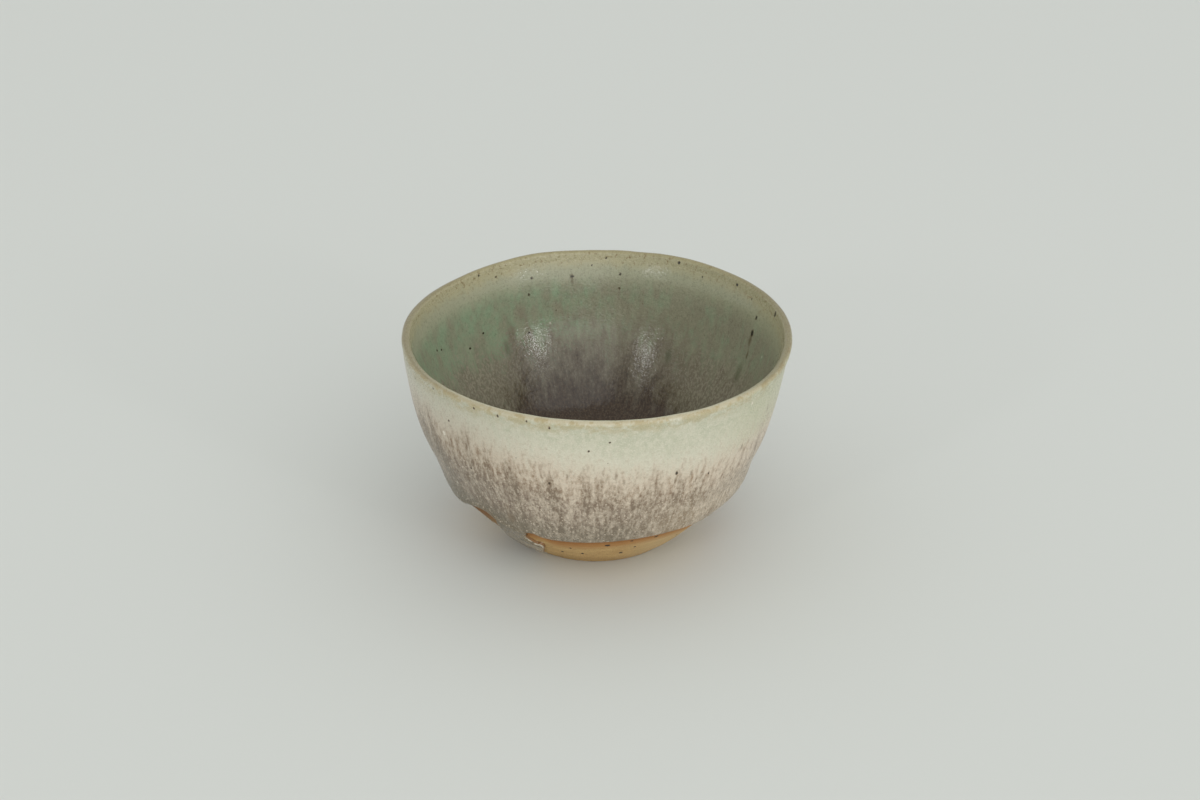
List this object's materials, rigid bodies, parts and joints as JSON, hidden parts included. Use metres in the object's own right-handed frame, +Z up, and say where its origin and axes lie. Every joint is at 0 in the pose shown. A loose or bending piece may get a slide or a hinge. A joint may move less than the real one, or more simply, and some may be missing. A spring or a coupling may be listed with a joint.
{
  "type": "guinomi sake cup",
  "caption": "Small round stoneware sake cup with an outturned lip, a turned hip and low foot ring, and ash glaze that stops in a rolled line above the bare clay foot.",
  "frame": {"origin": "on the cup's axis, in the plane of the foot ring's resting face", "axes": "+Z up along the cup's axis, out of the bowl; -Y towards the side seen from the front; +X to the right seen from there"},
  "size_m": [0.0761, 0.0762, 0.0429],
  "materials": {
    "bare_clay": "unglazed tan stoneware with turning lines, a few dark iron specks and an orange flash beside the glaze",
    "inner_glaze": "satin ash glaze, grey-green at the lip falling to mottled mauve brown on the floor",
    "rim_glaze": "thin satin glaze, broken to ochre brown on the edge",
    "outer_glaze": "satin ash glaze, pale grey-green over cream over streaked mauve brown",
    "run_glaze": "thick glossy grey-olive glaze that ran and set with a rolled edge"
  },
  "bodies": {
    "root": {"clay_body": "bare_clay", "inner_glaze": "inner_glaze", "rim_glaze": "rim_glaze", "outer_glaze": "outer_glaze", "glaze_run": "run_glaze"}
  },
  "joints": []
}
